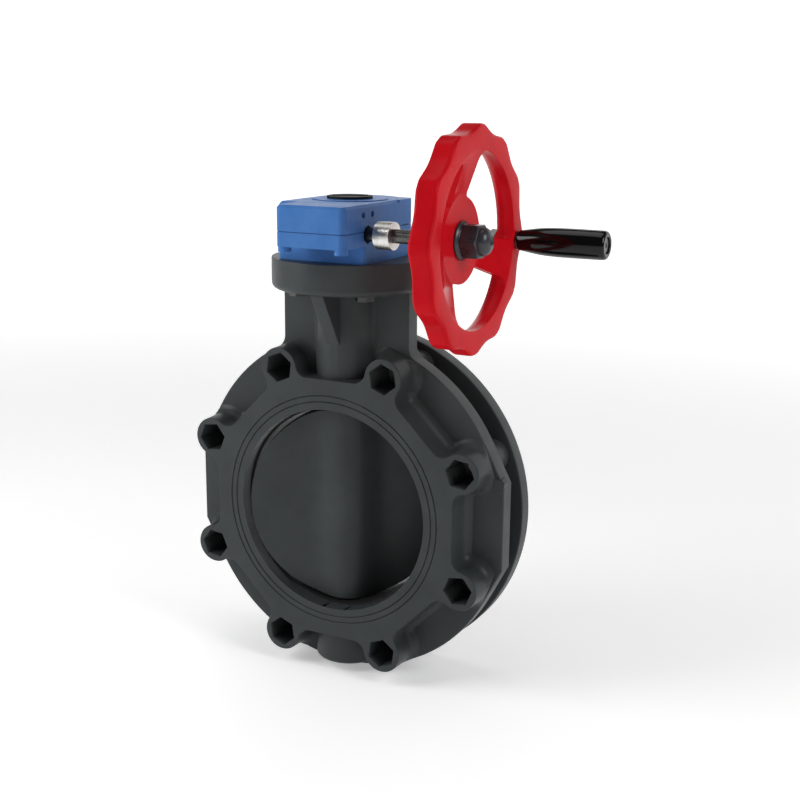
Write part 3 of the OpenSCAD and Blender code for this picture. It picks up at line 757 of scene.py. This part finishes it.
class VALVE_OT_body(bpy.types.Operator):
    """Models the moulded valve body"""

    bl_idname = "valve.body"
    bl_label = "Valve body"

    def execute(self, context):
        sizes = context.scene.valve_sizes
        ring = lug_ring_outline()
        hollow = sizes.web_hollow
        steps = [(-40.0, -1.1), (-39.65, -0.4), (-38.9, 0.0), (-24.0, 0.7), (-20.5, 0.8)]
        base_y = -9.9 - hollow * math.sin(math.radians(79))
        steps += [
            (base_y + hollow * math.sin(math.radians(t)), 0.8 + hollow * (1 - math.cos(math.radians(t))))
            for t in (14, 28, 42, 56, 68, 79)
        ]
        steps += [(-6.0, steps[-1][1])]
        levels = [
            [(x * MM, y * MM, z * MM) for x, z in grown(ring, distance, 169.2)] for y, distance in steps
        ]
        body = raised("body_moulding", levels)

        web = prism("web", web_outline(), "Y", -10, 9)
        soften(web, 1.6, 3, 50)
        body = unite(body, web)

        rear = lathe(
            "rear",
            [
                (90, 4), (128, 4), (128, 8.7), (125.2, 9.9), (124, 12.5), (124, 32.5), (125.2, 35.2), (128, 36),
                (169.6, 36), (171.0, 36.5), (171.45, 37.8), (171.45, 51.2), (171.0, 52.5), (169.6, 53), (90, 53),
            ],
            "Y",
            steps=180,
        )
        body = unite(body, rear)
        bosses = []
        for index in range(8):
            turn = PITCH * (index + 0.5)
            across = (math.cos(turn), math.sin(turn))
            plan = [
                (point[0] * across[0] - point[1] * across[1], point[0] * across[1] + point[1] * across[0])
                for point in [(110.0, -12.0), (BOLT_R - 12, -12.0)]
                + [p for p, _ in arc((BOLT_R, 0), 17, -math.pi * 0.75, math.pi * 0.75, 24)]
                + [(BOLT_R - 12, 12.0), (110.0, 12.0)]
            ]
            bosses.append(prism("boss", plan, "Y", 7, 38))
        body = unite(body, joined(*bosses))

        housing = prism("housing", housing_outline(), "Z", 112, 222)
        body = unite(body, housing)
        for sign in (-1, 1):
            gusset = prism(
                "gusset",
                [(sign * y, z) for y, z in [(62, 220), (62, 213), (31, 162), (15, 162), (15, 220)]],
                "X",
                -6.8,
                6.8,
            )
            soften(gusset, 0.8, 2, 50)
            body = unite(body, gusset)
        pad = lathe(
            "pad",
            [(0, 216), (69, 216), (71.3, 216.5), (73.3, 217.8), (74.5, 219.7), (75, 222), (75, 245.2),
             (74.8, 245.8), (74.2, 246), (0, 246)],
            "Z",
            steps=160,
            closed=False,
        )
        body = unite(body, pad)
        foot = lathe(
            "foot",
            [(0, -163), (30.5, -163), (32.6, -162.4), (34, -160.6), (34, -105), (0, -105)],
            "Z",
            steps=96,
            closed=False,
        )
        body = unite(body, foot)
        nib = prism("nib", [(160, 38), (170.4, 41), (171.2, 46), (168.5, 49), (160, 50)], "Y", -12, -2)
        soften(nib, 1.0, 2, 50)
        body = unite(body, nib)

        body = cut(body, round_rod("bore", 101.5, "Y", -60, 70, steps=180))
        body = cut(body, round_rod("liner_room", 108, "Y", -25, 25, steps=180))
        grooves = []
        for radius in (109.2, 115.2):
            for face, inward in ((-40, 1), (53, -1)):
                grooves.append(
                    lathe(
                        "groove",
                        [(radius - 0.8, face - 0.5 * inward), (radius - 0.8, face + 0.1 * inward),
                         (radius, face + 1.0 * inward), (radius + 0.8, face + 0.1 * inward),
                         (radius + 0.8, face - 0.5 * inward)],
                        "Y",
                        steps=180,
                    )
                )
        body = cut(body, joined(*grooves))
        holes = []
        for index in range(8):
            turn = PITCH * (index + 0.5)
            at = (BOLT_R * math.cos(turn), 0, BOLT_R * math.sin(turn))
            corner = 25.4 / 2 / math.cos(math.radians(30))
            levels = []
            for y, size in ((-41, corner + 1.7), (-39.2, corner), (28, corner)):
                levels.append(
                    [
                        ((at[0] + size * math.cos(a)) * MM, y * MM, (at[2] + size * math.sin(a)) * MM)
                        for a in [turn + math.radians(60 * k + 30) for k in range(6)]
                    ]
                )
            holes.append(raised("pocket", levels))
        body = cut(body, joined(*holes))
        holes = []
        for index in range(8):
            turn = PITCH * (index + 0.5)
            at = (BOLT_R * math.cos(turn), 0, BOLT_R * math.sin(turn))
            holes.append(
                lathe(
                    "hole",
                    [(0, 20), (11.1, 20), (11.1, 52.4), (12.3, 53.6), (0, 53.6)],
                    "Y", at, 40, closed=False,
                )
            )
        body = cut(body, joined(*holes))
        body = cut(body, round_rod("stem_way", 17.2, "Z", -170, 260, steps=64))
        body = cut(body, round_rod("plug_room", 21, "Z", -170, -151, steps=64))
        holes = []
        for angle in (45, 135, 225, 315):
            at = (51 * math.cos(math.radians(angle)), 51 * math.sin(math.radians(angle)), 0)
            holes.append(round_rod("bolt_way", 5.5, "Z", 210, 250, at, 24))
        body = cut(body, joined(*holes))
        merge(body)
        smooth(body, 32)
        place(body, "housing", ["valve_body"], "body_pvc", finishes["pvc"])
        return {"FINISHED"}


# ---------- disc ----------


class VALVE_OT_disc(bpy.types.Operator):
    """Models the disc with the soft ridge that hides its stem"""

    bl_idname = "valve.disc"
    bl_label = "Disc"

    def execute(self, context):
        edge, ridge, spread, reach = 3.2, 17.4, 25.0, 101.0
        count = 72
        front = []
        for index in range(count + 1):
            u = -reach + 2 * reach * index / count
            half = edge + 3.4 * (1 - (u / reach) ** 2) + (ridge - 3.0) * math.exp(-((abs(u) / spread) ** 2.4))
            front.append((u, -half))
        plan = front + [(u, -v) for u, v in reversed(front)]
        disc = prism("disc_moulding", plan, "Z", -101, 101)
        round_plate = round_rod("round_plate", 99, "Y", -40, 40, steps=180)
        disc = combine(disc, round_plate, "INTERSECT")
        # The ridge's ends follow a ball, so they clear the round liner at every angle.
        bpy.ops.object.select_all(action="DESELECT")
        bpy.ops.mesh.primitive_uv_sphere_add(segments=160, ring_count=80, radius=99.4 * MM)
        disc = combine(disc, bpy.context.object, "INTERSECT")
        merge(disc, 0.02)
        soften(disc, 2.2, 4, 50)
        disc = cut(disc, round_rod("stem_room", 12.75, "Z", -120, 120, steps=64))
        merge(disc)
        disc.rotation_euler = (0, 0, math.radians(26))
        only(disc)
        bpy.ops.object.transform_apply(location=False, rotation=True, scale=False)
        smooth(disc, 38)
        place(disc, "disc_set", ["disc"], "body_pvc", finishes["pvc"])
        return {"FINISHED"}


# ---------- handwheel ----------

HUB = (0, -48, 273)
# The collar and its screw stand this much further out than the CAD frame has them, in mm.
COLLAR_SHIFT = 3.5
LOBES = 12
LOBE_PHASE = math.radians(-2)
SPOKE_PHASE = math.radians(-18.5)
HANDLE_R = 87.4
HANDLE_ANGLE = math.radians(-4.4)
HANDLE = (0, HUB[1] + HANDLE_R * math.cos(HANDLE_ANGLE), HUB[2] + HANDLE_R * math.sin(HANDLE_ANGLE))


def window_plan(turn):
    """One opening between two spokes, as (Y, Z) in mm; the spokes widen towards the rim."""
    half_spoke, hub_r, rim_r, hub_corner, rim_corner = 12.9, 38.5, 78.0, 5.0, 7.5
    tilt, middle = math.radians(3.5), math.radians(60)
    hub_angle = math.asin((half_spoke + hub_corner) / (hub_r + hub_corner)) + tilt
    rim_angle = math.asin((half_spoke + rim_corner) / (rim_r - rim_corner)) + tilt
    hub_at = tuple((hub_r + hub_corner) * f(hub_angle) for f in (math.cos, math.sin))
    rim_at = tuple((rim_r - rim_corner) * f(rim_angle) for f in (math.cos, math.sin))
    half = [p for p, _ in arc((0, 0), hub_r, middle, hub_angle, 10)]
    half += [p for p, _ in arc(hub_at, hub_corner, hub_angle + math.pi, 1.5 * math.pi + tilt, 8)[1:]]
    half += [p for p, _ in arc(rim_at, rim_corner, tilt - 0.5 * math.pi, rim_angle, 12)]
    half += [p for p, _ in arc((0, 0), rim_r, rim_angle, middle, 12)[1:]]
    cos2, sin2 = math.cos(2 * middle), math.sin(2 * middle)
    other = [(x * cos2 + y * sin2, x * sin2 - y * cos2) for x, y in reversed(half[1:-1])]
    cos, sin = math.cos(turn), math.sin(turn)
    return [(HUB[1] + x * cos - y * sin, HUB[2] + x * sin + y * cos) for x, y in half + other]


class VALVE_OT_handwheel(bpy.types.Operator):
    """Models the cast handwheel with its lobed rim, spokes and hub"""

    bl_idname = "valve.handwheel"
    bl_label = "Handwheel"

    def execute(self, context):
        edge = context.scene.valve_sizes.wheel_edge
        back, front, outer = 136.3, 156.3, 100.5
        corner = [
            (outer - edge, back), (outer - 0.5 * edge, back + 0.13 * edge),
            (outer - 0.13 * edge, back + 0.5 * edge),
            (outer, back + edge), (outer, front - edge), (outer - 0.13 * edge, front - 0.5 * edge),
            (outer - 0.5 * edge, front - 0.13 * edge), (outer - edge, front),
        ]
        profile = [
            (6.4, 117), (16.6, 117), (17.6, 117.4), (18, 118.4), (18, 130), (18.6, 132), (20.5, 133), (40, 133.4),
            (60, 141.2), (75, 147.4), (78.2, 146.6), (79.2, 143.4), (80.4, 141.2), (82.6, 138.6), (85, 136.3),
            (86, 149.3), (92, 149.3), (93, 136.3),
        ]
        profile += corner
        profile += [
            (88, 156.3), (79.4, 156.2), (77.2, 155.4), (72, 153.3), (60, 148.1), (46, 142), (42, 140.2),
            (38.5, 139.2), (36, 139), (6.4, 139),
        ]
        wheel = lathe("handwheel_casting", profile, "X", HUB, steps=288)
        pitch = 2 * math.pi / LOBES
        for vert in wheel.data.vertices:
            y, z = vert.co.y / MM - HUB[1], vert.co.z / MM - HUB[2]
            radius, angle = math.hypot(y, z), math.atan2(z, y)
            off = (angle - LOBE_PHASE) % pitch - pitch / 2
            share = max(0.0, min(1.0, (radius - 93.2) / 4.0))
            hollow = 5.0 * share * max(0.0, math.cos(off * math.pi / 2 / math.radians(12.5))) ** 1.15
            scale = (radius - hollow) / radius if radius > 93.2 else 1.0
            vert.co.y, vert.co.z = (HUB[1] + y * scale) * MM, (HUB[2] + z * scale) * MM
        cutters = [
            prism("window", window_plan(SPOKE_PHASE + math.radians(120 * index)), "X", 120, 160)
            for index in range(3)
        ]
        wheel = cut(wheel, joined(*cutters))
        wheel = unite(wheel, round_rod("handle_boss", 9, "X", 136.6, 151, HANDLE, 40, 1.0))
        wheel = cut(wheel, round_rod("handle_hole", 5.02, "X", 120, 160, HANDLE, 32))
        merge(wheel, 0.02)
        soften(wheel, 1.3, 3, 40)
        smooth(wheel, 40)
        place(wheel, "wheel_set", ["handwheel"], "red_paint", finishes["red"])
        return {"FINISHED"}


# ---------- gearbox and hardware ----------


class VALVE_OT_gearbox(bpy.types.Operator):
    """Models the soft edged gearbox base and cover"""

    bl_idname = "valve.gearbox"
    bl_label = "Gearbox"

    def execute(self, context):
        edge = context.scene.valve_sizes.box_edge
        round_corner = [p for p, _ in arc((36, 36), 10, math.pi / 2, 0, 8)] + [(46, 14)]
        corner, plate = (
            [p for p, _ in arc((1, 14), radius, 0, math.asin(32 / radius), 14)] + round_corner
            for radius in (44.5, 38)
        )
        for node, low, high in (("gearbox_base", 262.4, 275.5), ("gearbox_cover", 276.3, 300)):
            casting = cad_copy(node + "_casting", node)
            casting = unite(casting, prism("rear_corner", corner, "Z", low, high))
            if node == "gearbox_cover":
                casting = unite(casting, prism("rear_plate", plate, "Z", 296.5, 300))
            if node == "gearbox_base":
                wall = [(-42, -55), (-36, -55), (-36, -54.35), (-42, -54.35)]
                casting = unite(casting, prism("front_wall", wall, "Z", 246, 262.4))
            else:
                rods = [round_rod("hole", 2.9, "X", 42, 48, (0, y, 291), 32) for y in (-56.5, -39.5)]
                casting = cut(casting, joined(*rods))
            merge(casting, 0.02)
            round_edges(casting, edge, 3, 35, lambda v: 275.4 * MM < v.co.z < 276.4 * MM)
            smooth(casting, 38)
            place(casting, "housing", [node], "blue_paint", finishes["blue"])
        return {"FINISHED"}


class VALVE_OT_hardware(bpy.types.Operator):
    """Models the collar, bolts, nuts, washer, grip and indicator with their chamfers and rounds"""

    bl_idname = "valve.hardware"
    bl_label = "Hardware"

    def execute(self, context):
        for node, body, slot, width in (
            ("shaft_collar", "wheel_set", "stainless_steel", 0.6),
            ("collar_screw", "wheel_set", "dark_steel", 0.2),
            ("pad_bolts", "housing", "stainless_steel", 0.6),
            ("stop_nuts", "housing", "stainless_steel", 0.5),
            ("stop_screws", "housing", "stainless_steel", 0.5),
            ("cover_screws", "housing", "stainless_steel", 0.4),
            ("handle_nut", "wheel_set", "stainless_steel", 0.6),
            ("handle_screw", "wheel_set", "dark_steel", 0.5),
            ("handle_spindle", "wheel_set", "dark_steel", 0.4),
            ("indicator_cap", "disc_set", "black_plastic", 0.45),
            ("bottom_plug", "housing", "body_pvc", 0.8),
        ):
            piece = cad_copy(node + "_finished", node)
            if node in ("shaft_collar", "collar_screw"):
                only(piece)
                bpy.ops.transform.translate(value=(COLLAR_SHIFT * MM, 0, 0))
                bpy.ops.object.transform_apply(location=True, rotation=False, scale=False)
            soften(piece, width, 2, 40)
            smooth(piece, 38)
            place(piece, body, [node], slot, finishes[CAD_FINISHES[node]])

        start, corner = 143.5, 16.4
        hexagon = [
            (HUB[1] + corner * math.cos(math.radians(60 * k)), HUB[2] + corner * math.sin(math.radians(60 * k)))
            for k in range(6)
        ]
        nut = prism("cap_nut_finished", hexagon, "X", start, start + 15.6)
        chamfer = lathe(
            "chamfer",
            [(0, start - 1), (14.0, start - 1), (14.8, start), (17, start + 1.6), (17, start + 13.4),
             (13.9, start + 15.6), (13.6, start + 16.5), (0, start + 16.5)],
            "X", HUB, 96, closed=False,
        )
        nut = combine(nut, chamfer, "INTERSECT")
        dome = lathe(
            "dome",
            [(0, start + 12), (12.6, start + 12), (12.6, start + 16.6), (12.2, start + 18.6), (11.0, start + 20.8),
             (9.0, start + 22.6), (6.2, start + 23.7), (3.2, start + 24.1), (2.6, start + 23.7), (0, start + 23.6)],
            "X", HUB, 72, closed=False,
        )
        nut = unite(nut, dome)
        nut = cut(nut, round_rod("bore", 5.95, "X", start - 1, start + 15, HUB, 32))
        merge(nut, 0.02)
        soften(nut, 0.5, 3, 30)
        smooth(nut, 38)
        place(nut, "wheel_set", ["cap_nut"], "black_plastic", finishes["slate"])

        washer = lathe(
            "wheel_washer_finished",
            [(6.2, 139), (16.6, 139), (17.3, 139.3), (17.5, 140), (17.3, 140.9), (16.4, 141.5), (15.6, 142.2),
             (15.2, 143.1), (14.6, 143.5), (6.2, 143.5)],
            "X", HUB, 96,
        )
        smooth(washer, 50)
        place(washer, "wheel_set", ["wheel_washer"], "black_plastic", finishes["slate"])

        start = 158.4
        shape = [
            (5.15, 0), (8.0, 0), (8.8, 0.3), (9.3, 1.0), (9.7, 3.0), (10.2, 6.0), (10.8, 10), (11.6, 15), (12.3, 20),
            (12.85, 26), (13.2, 33), (13.45, 41), (13.5, 50), (13.5, 60), (13.45, 70), (13.4, 79), (13.3, 81.6),
            (12.9, 83.2), (12.2, 84.3), (11.2, 84.9), (10.2, 85), (8.6, 85), (7.9, 84.7), (7.5, 84), (7.5, 80.5),
            (5.15, 80.5),
        ]
        grip = lathe("handle_grip_finished", [(r, start + h) for r, h in shape], "X", HANDLE, 96)
        smooth(grip, 50)
        place(grip, "grip", ["handle_grip"], "black_plastic", finishes["phenolic"])
        return {"FINISHED"}


# ---------- carried-over nodes ----------


class VALVE_OT_finishes(bpy.types.Operator):
    """Makes the finishes and gives each CAD node its own"""

    bl_idname = "valve.finishes"
    bl_label = "Finishes"

    def execute(self, context):
        make_finishes(context.scene.valve_colours)
        for name, finish in CAD_FINISHES.items():
            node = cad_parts[name]
            if not node.material_slots:
                node.data.materials.append(finishes[finish])
            for slot in node.material_slots:
                slot.material = finishes[finish]
        return {"FINISHED"}


class VALVE_PT_panel(bpy.types.Panel):
    """Lists the valve's pieces and their settings"""

    bl_label = "Valve"
    bl_idname = "VALVE_PT_panel"
    bl_space_type = "VIEW_3D"
    bl_region_type = "UI"
    bl_category = "Valve"

    def draw(self, context):
        layout = self.layout
        for group in (context.scene.valve_sizes, context.scene.valve_colours):
            for name in group.bl_rna.properties.keys():
                if name not in ("rna_type", "name"):
                    layout.prop(group, name)
        for operator in OPERATORS:
            layout.operator(operator.bl_idname)


OPERATORS = (
    VALVE_OT_stage,
    VALVE_OT_finishes,
    VALVE_OT_body,
    VALVE_OT_disc,
    VALVE_OT_handwheel,
    VALVE_OT_gearbox,
    VALVE_OT_hardware,
)
CLASSES = (ValveColours, ValveSizes, *OPERATORS, VALVE_PT_panel)


def register():
    for item in CLASSES:
        bpy.utils.register_class(item)
    bpy.types.Scene.valve_sizes = bpy.props.PointerProperty(type=ValveSizes)
    bpy.types.Scene.valve_colours = bpy.props.PointerProperty(type=ValveColours)


def unregister():
    del bpy.types.Scene.valve_sizes
    del bpy.types.Scene.valve_colours
    for item in reversed(CLASSES):
        bpy.utils.unregister_class(item)


def main():
    register()
    bpy.ops.valve.stage()
    bpy.ops.valve.finishes()
    bpy.ops.valve.body()
    bpy.ops.valve.disc()
    bpy.ops.valve.handwheel()
    bpy.ops.valve.gearbox()
    bpy.ops.valve.hardware()
    bpy.context.view_layer.update()


if __name__ == "__main__":
    main()
